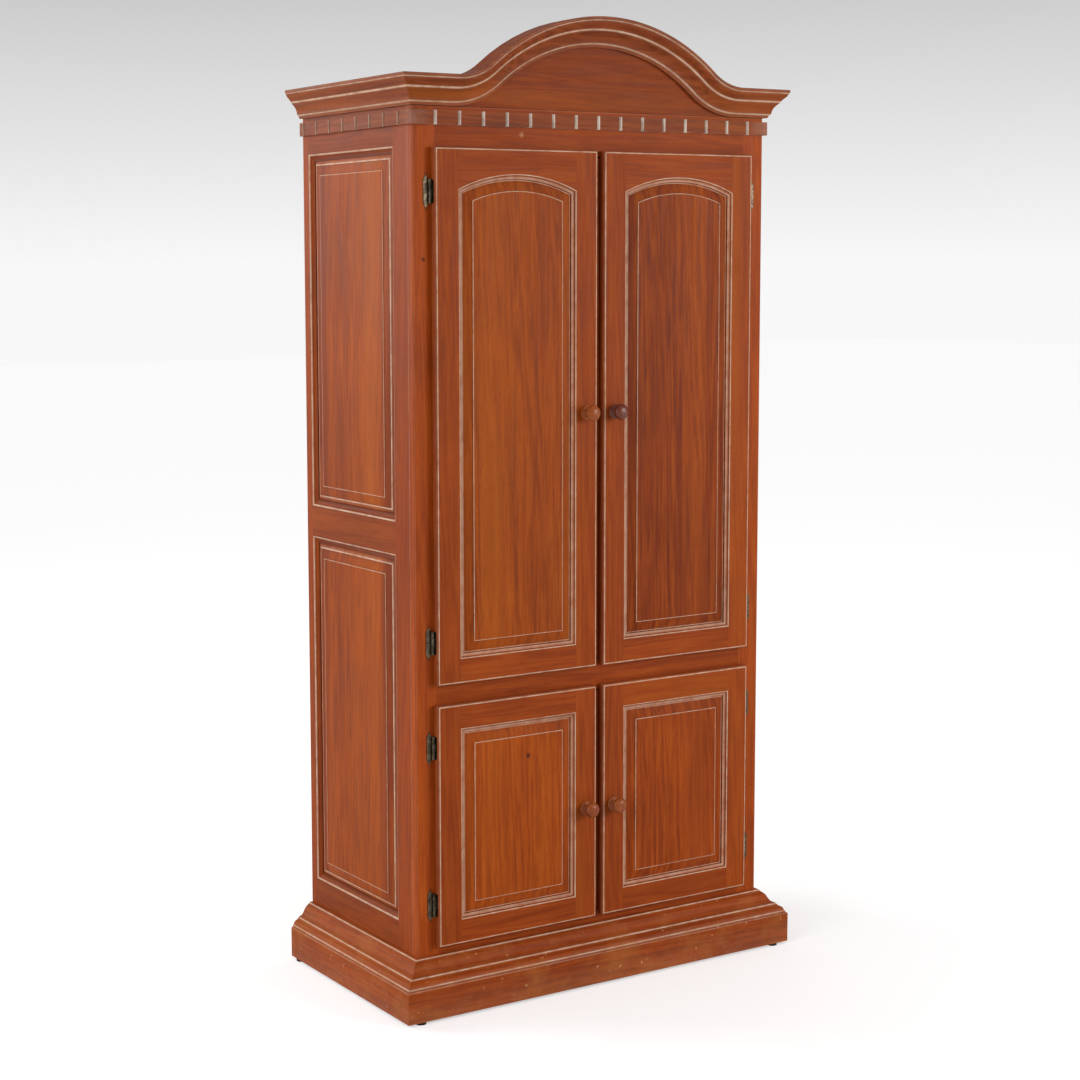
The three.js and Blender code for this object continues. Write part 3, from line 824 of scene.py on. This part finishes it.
@dataclass
class Door:
    """One overlay door: frame, raised panel and turned knob."""

    name: str
    palette: Palette
    rise: float = 0.0
    knob_finish: str = "knob_wood"
    panel_finish: str = "panel_upright"
    round_edge: float = 0.004
    edge_wash: float = 0.9
    knob_sides: int = 40
    least_radius: float = 1e-5
    # Steps: inset, depth and mark; marks below nought are painted shade in the quirks and on the panel's
    # bevel.
    sticking: Sequence[Step] = (
        (-0.0012, 0.0, 0.0), (-0.0004, 0.0, 0.90), (0.0012, 0.0008, 0.95), (0.0020, 0.0024, -0.35),
        (0.0036, 0.0042, 0.30), (0.0066, 0.0056, 0.58), (0.0094, 0.0060, 0.58), (0.0100, 0.0060, -0.2),
    )
    panel: Sequence[Step] = (
        (0.0103, 0.0090, -0.6), (0.0114, 0.0090, 0.55), (0.0128, 0.0086, 0.70), (0.0146, 0.0079, -0.20),
        (0.0190, 0.0069, -0.10), (0.0346, 0.0033, -0.04), (0.0354, 0.0031, -0.30), (0.0361, 0.0012, 0.80),
        (0.0371, 0.0010, 0.85), (0.0379, 0.0010, 0.05), (0.0396, 0.0010, 0.0),
    )
    knob_profile: Sequence[Span] = (
        (0.0, 0.0), (0.0160, 0.0), (0.0170, 0.0008), (0.0172, 0.0022), (0.0160, 0.0034), (0.0135, 0.0050),
        (0.0100, 0.0066), (0.0078, 0.0082), (0.0068, 0.0104), (0.0066, 0.0125), (0.0074, 0.0148),
        (0.0098, 0.0170), (0.0136, 0.0186), (0.0166, 0.0206), (0.0182, 0.0234), (0.0184, 0.0262),
        (0.0174, 0.0292), (0.0148, 0.0322), (0.0110, 0.0344), (0.0060, 0.0356), (0.0, 0.0359),
    )

    def build(self) -> None:
        """Builds the door's pieces on its body."""
        low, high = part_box(f"{self.name}_frame")
        panel_low, panel_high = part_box(f"{self.name}_panel")
        margin = self.panel[0][0]
        opening = Opening(panel_low.x - margin, panel_high.x + margin, panel_low.z - margin,
                          panel_high.z + margin, self.rise)
        board = FramedBoard(front_face(low.y), low.x, high.x, low.z, high.z, high.y - low.y, [opening],
                            self.sticking, self.round_edge, self.edge_wash, self.panel, panel_high.y - low.y)
        board.frame_shell().build(
            f"{self.name}_dressed_frame", self.palette.get("frame_upright", "frame_across"), self.name,
            "cherry_frame", f"{self.name}_frame")
        board.panel_shell(opening).build(
            f"{self.name}_dressed_panel", self.palette.get(self.panel_finish), self.name,
            "panel_wood", f"{self.name}_panel")
        self._knob()

    def _knob(self) -> None:
        """Turns the knob about its own axis."""
        low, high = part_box(f"{self.name}_knob")
        middle = (low + high) / 2
        turns = [2 * math.pi * i / self.knob_sides for i in range(self.knob_sides)]
        shell = Shell()
        rings = []
        for radius, along in self.knob_profile:
            reach = max(radius, self.least_radius)
            rings.append(shell.loop([Vector((middle.x + reach * math.cos(turn), high.y - along,
                                             middle.z + reach * math.sin(turn))) for turn in turns], 0.0))
        shell.tube(rings)
        shell.build(f"{self.name}_turned_knob", self.palette.get(self.knob_finish), self.name,
                    "panel_wood", f"{self.name}_knob")


@dataclass
class CabinetSide:
    """One side of the carcase: frame and two raised panels."""

    name: str
    palette: Palette
    round_edge: float = 0.0012
    edge_wash: float = 0.42
    # Steps: inset, depth and mark; marks below nought are painted shade in the quirks of the moulding.
    sticking: Sequence[Step] = (
        (-0.0040, 0.0, 0.0), (-0.0022, 0.0, -0.40), (-0.0006, 0.0, 0.80), (0.0018, 0.0012, 0.85),
        (0.0034, 0.0034, -0.10), (0.0070, 0.0060, 0.05), (0.0104, 0.0076, -0.45), (0.0140, 0.0080, -0.50),
    )
    panel: Sequence[Step] = (
        (0.0143, 0.0100, -0.6), (0.0160, 0.0098, -0.3), (0.0185, 0.0086, 0.10), (0.0220, 0.0076, 0.10),
        (0.0230, 0.0072, 0.85), (0.0254, 0.0064, 0.90), (0.0264, 0.0062, -0.45), (0.0290, 0.0058, -0.10),
        (0.0360, 0.0048, 0.0), (0.0462, 0.0034, 0.0), (0.0472, 0.0033, -0.45), (0.0482, 0.0021, 0.60),
        (0.0496, 0.0020, 0.60), (0.0506, 0.0020, 0.0),
    )

    def build(self) -> None:
        """Builds the side's pieces on the carcase."""
        low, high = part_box(f"{self.name}_side_frame")
        margin = self.panel[0][0]
        thickness = high.x - low.x
        openings = []
        for level in ("lower", "upper"):
            inner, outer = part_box(f"{self.name}_side_{level}_panel")
            openings.append(Opening(inner.y - margin, outer.y + margin, inner.z - margin, outer.z + margin))
        board = FramedBoard(side_face(self.name, low, high), low.y, high.y, low.z, high.z, thickness,
                            openings, self.sticking, self.round_edge, self.edge_wash, self.panel, thickness)
        board.frame_shell().build(
            f"{self.name}_side_dressed_frame", self.palette.get("frame_upright", "shaded_frame_deep"), "carcase",
            "cherry_frame", f"{self.name}_side_frame")
        for level, opening in zip(("lower", "upper"), openings):
            board.panel_shell(opening).build(
                f"{self.name}_side_{level}_dressed_panel", self.palette.get("panel_upright"), "carcase",
                "panel_wood", f"{self.name}_side_{level}_panel")


@dataclass
class FaceFrame:
    """The frame that the doors close on: two stiles and three rails, its outer corners a little rounded."""

    palette: Palette
    round_edge: float = 0.0022
    edge_wash: float = 0.18
    opening_inset: float = 0.059
    lower: Span = (0.166, 0.695)
    upper: Span = (0.765, 1.928)
    edge: Sequence[Step] = ((-0.0012, 0.0, 0.0), (0.0, 0.0012, 0.0), (0.0, 0.0014, 0.0))

    def build(self) -> None:
        """Builds the face frame on the carcase."""
        low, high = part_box("face_frame")
        openings = [Opening(low.x + self.opening_inset, high.x - self.opening_inset, *span)
                    for span in (self.lower, self.upper)]
        board = FramedBoard(front_face(low.y), low.x, high.x, low.z, high.z, high.y - low.y, openings,
                            self.edge, self.round_edge, self.edge_wash)
        board.frame_shell().build("dressed_face_frame", self.palette.get("lit_stile_upright", "frame_across"),
                                  "carcase", "cherry_frame", "face_frame")


@dataclass
class Moulding:
    """A profile run round the carcase. Its steps say how far out, how far from the level and its mark:
    whitewash above nought, painted shade below.
    """

    prefix: str
    profile: Sequence[Step]
    half: float
    front: float
    level: float
    sense: int

    def run_front(self, materials: List[Material]) -> None:
        """Runs it straight along the front, mitred at both corners."""
        self.lay("front", [self.corner(out) for out in SIDES.values()], materials)

    def run_side(self, side: str, rear: float, materials: List[Material]) -> None:
        """Runs it along one side as far as its rear end, mitred at the front corner."""
        corner = self.corner(SIDES[side])
        self.lay(side, [corner, [Vector((place.x, rear, place.z)) for place in corner]], materials)

    def corner(self, out: int) -> List[Vector]:
        """Gives the profile in the mitre at one front corner."""
        return [Vector((out * (self.half + q), self.front - q, self.level + self.sense * h))
                for q, h, _ in self.profile]

    def lay(self, part: str, stations: List[List[Vector]], materials: List[Material]) -> None:
        """Lays the profile along its stations, in place of its CAD node.

        Args:
            part: which stretch it is.
            stations: the profile's points at each station.
            materials: its finish.
        """
        shell = Shell()
        shell.sweep(stations, [wash_and_shade for _, _, wash_and_shade in self.profile])
        shell.build(f"{self.prefix}_{part}_moulding", materials, "carcase",
                    "moulding_wood", f"{self.prefix}_{part}")


@dataclass
class Crown:
    """The arched crown: a moulding along the front's curved top and a return on each side."""

    palette: Palette
    rise: float = 0.143
    half_run: float = 0.395
    radius: float = 0.480
    arch_steps: int = 48
    shoulder_steps: int = 20
    profile: Sequence[Step] = (
        (0.0, 0.0, 0.0), (0.0450, 0.0, 0.0), (0.0460, 0.0009, 0.1), (0.0460, 0.0068, 0.05),
        (0.0456, 0.0076, 0.95), (0.0440, 0.0086, 0.95), (0.0434, 0.0094, 0.1), (0.0420, 0.0130, 0.0),
        (0.0402, 0.0160, 0.0), (0.0368, 0.0194, 0.0), (0.0334, 0.0228, 0.0), (0.0312, 0.0256, 0.05),
        (0.0308, 0.0266, 0.9), (0.0290, 0.0292, 0.9), (0.0286, 0.0304, 0.08), (0.0248, 0.0340, 0.0),
        (0.0213, 0.0378, 0.0), (0.0184, 0.0420, 0.0), (0.0164, 0.0466, 0.0), (0.0150, 0.0516, 0.0),
        (0.0143, 0.0556, 0.05), (0.0138, 0.0568, 0.9), (0.0112, 0.0584, 0.9), (0.0106, 0.0594, 0.15),
        (0.0092, 0.0626, 0.0), (0.0084, 0.0642, 0.1), (0.0084, 0.0650, 0.1), (0.0, 0.0650, 0.0),
    )

    def build(self) -> None:
        """Builds the three mouldings on the carcase."""
        _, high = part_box("crown_front")
        _, side_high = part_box("crown_left")
        half = high.x - max(q for q, _, _ in self.profile)
        moulding = Moulding("crown", self.profile, half, high.y, side_high.z, -1)
        arch = [[Vector((x - math.sin(lean) * d, high.y - q, z - math.cos(lean) * d))
                 for q, d, _ in self.profile] for x, z, lean in self._path(side_high.z)]
        left, right = SIDES.values()
        moulding.lay("front", [moulding.corner(left), *arch, moulding.corner(right)],
                     self.palette.get("trim_across"))
        for side in SIDES:
            moulding.run_side(side, side_high.y, self.palette.get("trim_deep"))

    def _path(self, top: float) -> List[Point]:
        """Follows the front's top line from left to right.

        Args:
            top: the height of its straight ends.

        Returns:
            The place across, the height and the lean of each station.
        """
        turn = 2 * math.atan(self.rise / self.half_run)
        shoulder = self.half_run / math.sin(turn) - self.radius
        right = []
        for i in range(self.arch_steps // 2 + 1):
            lean = turn * 2 * i / self.arch_steps
            right.append((self.radius * math.sin(lean),
                          top + self.rise - self.radius + self.radius * math.cos(lean), lean))
        for i in range(1, self.shoulder_steps + 1):
            lean = turn * (1 - i / self.shoulder_steps)
            right.append((self.half_run - shoulder * math.sin(lean),
                          top + shoulder * (1 - math.cos(lean)), lean))
        return [(-x, z, -lean) for x, z, lean in reversed(right[1:])] + right


@dataclass
class Base:
    """The plinth and the cap moulding that steps back from it to the carcase."""

    palette: Palette
    cap: Sequence[Step] = (
        (0.0, 0.0540, 0.0), (0.0074, 0.0540, 0.1), (0.0084, 0.0534, 0.95), (0.0090, 0.0516, 0.9),
        (0.0098, 0.0508, 0.1), (0.0124, 0.0486, 0.0), (0.0164, 0.0454, 0.0), (0.0197, 0.0421, 0.0),
        (0.0226, 0.0366, 0.0), (0.0246, 0.0326, 0.0), (0.0266, 0.0296, 0.0), (0.0292, 0.0260, 0.0),
        (0.0330, 0.0238, 0.05), (0.0372, 0.0226, 0.1), (0.0384, 0.0218, 0.9), (0.0390, 0.0200, 0.9),
        (0.0396, 0.0192, 0.1), (0.0420, 0.0167, 0.0), (0.0460, 0.0147, 0.0), (0.0492, 0.0127, 0.0),
        (0.0514, 0.0090, 0.0), (0.0526, 0.0058, 0.1), (0.0532, 0.0048, 0.85), (0.0544, 0.0036, 0.85),
        (0.0550, 0.0026, 0.2), (0.0550, 0.0, 0.1), (0.0, 0.0, 0.0),
    )
    plinth: Sequence[Step] = (
        (0.0340, 0.0, 0.0), (0.0584, 0.0, 0.0), (0.0590, 0.0006, 0.1), (0.0590, 0.0698, 0.0),
        (0.0588, 0.0712, 0.25), (0.0580, 0.0724, 0.35), (0.0566, 0.0730, 0.15), (0.0340, 0.0730, 0.0),
    )

    def build(self) -> None:
        """Builds the base on the carcase."""
        carcase_low, carcase_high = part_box("face_frame")
        _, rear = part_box("plinth_left")
        for prefix, profile, finish in (("base_cap", self.cap, "cap"), ("plinth", self.plinth, "plinth")):
            low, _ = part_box(f"{prefix}_front")
            moulding = Moulding(prefix, profile, carcase_high.x, carcase_low.y, low.z, 1)
            moulding.run_front(self.palette.get(f"{finish}_across"))
            for side in SIDES:
                moulding.run_side(side, rear.y, self.palette.get(f"{finish}_deep"))


@dataclass
class Dentils:
    """The strip of blocks under the crown, with whitewashed slots between them; painted shade lines the front
    slots' near edge and fills the side slots, all but their far wall.
    """

    palette: Palette
    proud: float = 0.008
    slot_width: float = 0.006
    blocks: int = 16
    side_slots: int = 8
    lead_share: float = 0.85
    end_wash: float = 0.1
    end_band: float = 0.0008
    near_edge: Sequence[Span] = ((-0.0034, 0.0), (-0.0014, 0.0), (0.0, 0.0004), (0.0, 0.003), (0.0006, 0.005))
    far_edge: Sequence[Span] = ((-0.0006, 0.005), (0.0, 0.003), (0.0, 0.0004), (0.0014, 0.0), (0.0030, 0.0))
    # Marks round a slot: whitewash above nought, painted shade below; the side slots are mostly painted
    # shade.
    front_wash_and_shade: Sequence[float] = (0.0, -0.2, -0.2, 0.9, 1.0, 1.0, 1.0, 1.0, 0.35, 0.0)
    side_wash_and_shade: Sequence[float] = (0.0, -0.7, -0.7, -0.7, -0.8, -0.8, 1.0, 1.0, 0.35, 0.0)

    def build(self) -> None:
        """Builds the three strips on the carcase."""
        low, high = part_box("dentil_strip_front")
        pitch = (high.x - low.x) / self.blocks
        slots = [low.x + pitch * (i + 1) for i in range(self.blocks - 1)]
        plan = self._plan(low.x, high.x, slots, self.front_wash_and_shade)
        self._strip("front", front_face(low.y), plan, (low.z, high.z), "dentil_across")
        for side in SIDES:
            side_low, side_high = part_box(f"dentil_strip_{side}")
            first = side_low.y - self.proud + self.lead_share * pitch
            side_slots = [first + pitch * i for i in range(self.side_slots)]
            plan = self._plan(side_low.y, side_high.y, side_slots, self.side_wash_and_shade)
            face = side_face(side, side_low, side_high)
            self._strip(side, face, plan, (side_low.z, side_high.z), "trim_deep")

    def _plan(self, start: float, end: float, slots: List[float], wash_and_shade_values: Sequence[float]) -> List[Step]:
        """Draws a strip as seen from above.

        Args:
            start: where it starts across its face.
            end: where it ends.
            slots: the middles of its slots.
            wash_and_shade_values: the whitewash and painted-shade marks round a slot.

        Returns:
            The place across, the depth and the mark, whitewash above nought and painted shade below, of each
            point.
        """
        plan = [(start, self.proud, 0.0), (start, 0.0, self.end_wash)]
        half = self.slot_width / 2
        for slot in slots:
            around = [(slot - half + along, depth) for along, depth in self.near_edge]
            around += [(slot + half + along, depth) for along, depth in self.far_edge]
            plan += [(*point, wash_and_shade) for point, wash_and_shade in zip(around, wash_and_shade_values)]
        return plan + [(end, 0.0, self.end_wash), (end, self.proud, 0.0)]

    def _strip(self, name: str, face: Face, plan: List[Step], span: Span, finish: str) -> None:
        """Builds one strip from its plan.

        Args:
            name: which strip.
            face: the strip's outer face.
            plan: the strip as seen from above.
            span: its lower and upper edge.
            finish: its material.
        """
        bottom, top = span
        shell = Shell()
        shell.sweep([[face.point(a, height, depth) for a, depth, _ in plan]
                     for height in (bottom, bottom + self.end_band, top - self.end_band, top)],
                    [wash_and_shade for _, _, wash_and_shade in plan])
        shell.build(f"dentil_{name}_blocks", self.palette.get(finish), "carcase",
                    "moulding_wood", f"dentil_strip_{name}")


@dataclass
class CarriedNodes:
    """The CAD nodes whose own shape shows: they get their finish, and most get softened edges."""

    palette: Palette
    wood_edge: float = 0.0009
    brass_edge: float = 0.0003
    edge_segments: int = 2
    least_angle: float = math.radians(40)
    finishes: Sequence[Tuple[str, str]] = (
        ("hinge", "antique_brass"), ("glide", "glide_plastic"), ("meeting_strip", "frame_upright"),
        ("arched_frieze", "shaded_frieze_across"), ("top_board", "frame_across"), ("back_panel", "inside_upright"),
        ("television_deck", "inside_across"), ("bottom_board", "inside_across"),
        ("lower_shelf", "inside_across"),
    )

    def dress(self) -> None:
        """Finishes every node that still shows."""
        for name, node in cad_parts.items():
            if node.hide_render:
                continue
            finish = next(material for key, material in self.finishes if key in name)
            node.data.materials.clear()
            node.data.materials.append(self.palette.materials[finish])
            LOG.info("%s finished as %s", name, finish)
            if finish != "shaded_frieze_across":
                self._soften(node, self.brass_edge if finish == "antique_brass" else self.wood_edge)

    def _soften(self, node: bpy.types.Object, width: float) -> None:
        """Rounds a node's edges with a modifier.

        Args:
            node: the node.
            width: how wide the rounding is.
        """
        soften = node.modifiers.new("softened_edges", "BEVEL")
        soften.width = width
        soften.segments = self.edge_segments
        soften.limit_method = "ANGLE"
        soften.angle_limit = self.least_angle


@dataclass(frozen=True)
class Lamp:
    """A soft square lamp that faces a point."""

    name: str
    place: Point
    target: Point
    size: float
    power: float

    def hang(self) -> None:
        """Hangs the lamp."""
        data = bpy.data.lights.new(self.name, "AREA")
        data.size = self.size
        data.energy = self.power
        lamp = bpy.data.objects.new(self.name, data)
        lamp.location = self.place
        lamp.rotation_euler = (Vector(self.target) - Vector(self.place)).to_track_quat("-Z", "Y").to_euler()
        bpy.context.scene.collection.objects.link(lamp)


@dataclass
class Studio:
    """The camera at the photograph's viewing angle, a plain pale floor and soft light."""

    focal_pixels: float = 2076.6
    image_pixels: float = 1080.0
    axis_x_pixels: float = 420.0
    axis_y_pixels: float = 490.0
    sensor_width: float = 36.0
    yaw: float = math.radians(31.094)
    pitch: float = math.radians(6.198)
    roll: float = math.radians(-0.384)
    place: Point = (-2.8206, -4.1097, 1.6863)
    floor_reach: float = 30.0
    floor_colour: Colour = (0.72, 0.72, 0.72)
    glow_colour: Colour = (0.93, 0.93, 0.93)
    glow_radii: Span = (0.6, 4.5)
    glow_strengths: Span = (0.47, 0.64)
    ambient: float = 0.50
    backdrop_heights: Span = (0.0, 0.16)
    backdrop_tones: Span = (0.94, 0.50)
    lamps: Sequence[Lamp] = (
        Lamp("key_light", (3.4, -4.8, 2.3), (0.0, 0.0, 0.8), size=2.4, power=185.0),
        Lamp("fill_light", (-5.0, -1.6, 2.4), (0.0, 0.0, 1.1), size=2.6, power=85.0),
        Lamp("sheen_light", (-3.4, 3.6, 2.7), (-0.5, 0.0, 1.4), size=2.8, power=150.0),
    )

    def build(self) -> None:
        """Builds the camera, floor, world and lights."""
        self._camera()
        self._floor()
        self._world()
        for lamp in self.lamps:
            lamp.hang()
        bpy.context.scene.view_settings.view_transform = "Standard"

    def _camera(self) -> None:
        """Places the camera."""
        data = bpy.data.cameras.new("camera")
        data.sensor_width = self.sensor_width
        data.lens = self.focal_pixels / self.image_pixels * data.sensor_width
        data.shift_x = (self.image_pixels / 2 - self.axis_x_pixels) / self.image_pixels
        data.shift_y = (self.axis_y_pixels - self.image_pixels / 2) / self.image_pixels
        camera = bpy.data.objects.new("camera", data)
        level = math.cos(self.pitch)
        forward = Vector((math.sin(self.yaw) * level, math.cos(self.yaw) * level, -math.sin(self.pitch)))
        right = Vector((math.cos(self.yaw), -math.sin(self.yaw), 0.0))
        up = right.cross(forward)
        rolled = right * math.cos(self.roll) + up * math.sin(self.roll)
        risen = -right * math.sin(self.roll) + up * math.cos(self.roll)
        turn = Matrix((rolled, risen, -forward)).transposed().to_4x4()
        camera.matrix_world = Matrix.Translation(self.place) @ turn
        bpy.context.scene.collection.objects.link(camera)
        bpy.context.scene.camera = camera

    def _floor(self) -> None:
        """Makes the floor: it takes the object's shadow, and glows paler away from it where it is seen."""
        reach = self.floor_reach
        mesh = bpy.data.meshes.new("floor")
        corners = [(-reach, -reach, 0), (reach, -reach, 0), (reach, reach, 0), (-reach, reach, 0)]
        mesh.from_pydata(corners, [], [(0, 1, 2, 3)])
        nodes = NodeTree(bpy.data.materials.new("pale_floor"))
        away = nodes.add("ShaderNodeVectorMath", {0: nodes.place()}, operation="LENGTH")
        pale = nodes.map_range(away.outputs["Value"], self.glow_radii, self.glow_strengths)
        glow = nodes.add("ShaderNodeEmission", {"Color": (*self.glow_colour, 1.0),
                                                "Strength": nodes.math("MULTIPLY", nodes.seen(), pale)})
        plain = nodes.add("ShaderNodeBsdfDiffuse", {"Color": (*self.floor_colour, 1.0)})
        nodes.output(nodes.add("ShaderNodeAddShader", {0: glow.outputs[0], 1: plain.outputs[0]}))
        mesh.materials.append(nodes.owner)
        floor = bpy.data.objects.new("floor", mesh)
        bpy.context.scene.collection.objects.link(floor)

    def _world(self) -> None:
        """Makes the pale surroundings: even light on the object, near white low behind it."""
        nodes = NodeTree(bpy.data.worlds.new("studio"))
        shade = nodes.add("ShaderNodeBackground", {"Color": (1.0, 1.0, 1.0, 1.0), "Strength": self.ambient})
        view = nodes.add("ShaderNodeTexCoord").outputs["Generated"]
        height = nodes.add("ShaderNodeSeparateXYZ", {0: view}).outputs["Z"]
        fade = nodes.map_range(height, self.backdrop_heights, self.backdrop_tones)
        backdrop = nodes.add("ShaderNodeBackground", {"Color": fade, "Strength": 1.0})
        shaders = {0: nodes.seen(), 1: shade.outputs[0], 2: backdrop.outputs[0]}
        nodes.output(nodes.add("ShaderNodeMixShader", shaders), "ShaderNodeOutputWorld")
        bpy.context.scene.world = nodes.owner


def main() -> None:
    """Builds the studio and every part of the armoire."""
    logging.basicConfig(level=logging.INFO, format="%(message)s")
    Studio().build()
    palette = Palette()
    FaceFrame(palette).build()
    for side in SIDES:
        CabinetSide(side, palette).build()
    Door("upper_left_door", palette, rise=0.034).build()
    Door("upper_right_door", palette, rise=0.034, knob_finish="dark_knob_wood").build()
    for name in ("lower_left_door", "lower_right_door"):
        Door(name, palette, panel_finish="lit_low_panel_upright").build()
    Crown(palette).build()
    Base(palette).build()
    Dentils(palette).build()
    CarriedNodes(palette).dress()


if __name__ == "__main__":
    main()
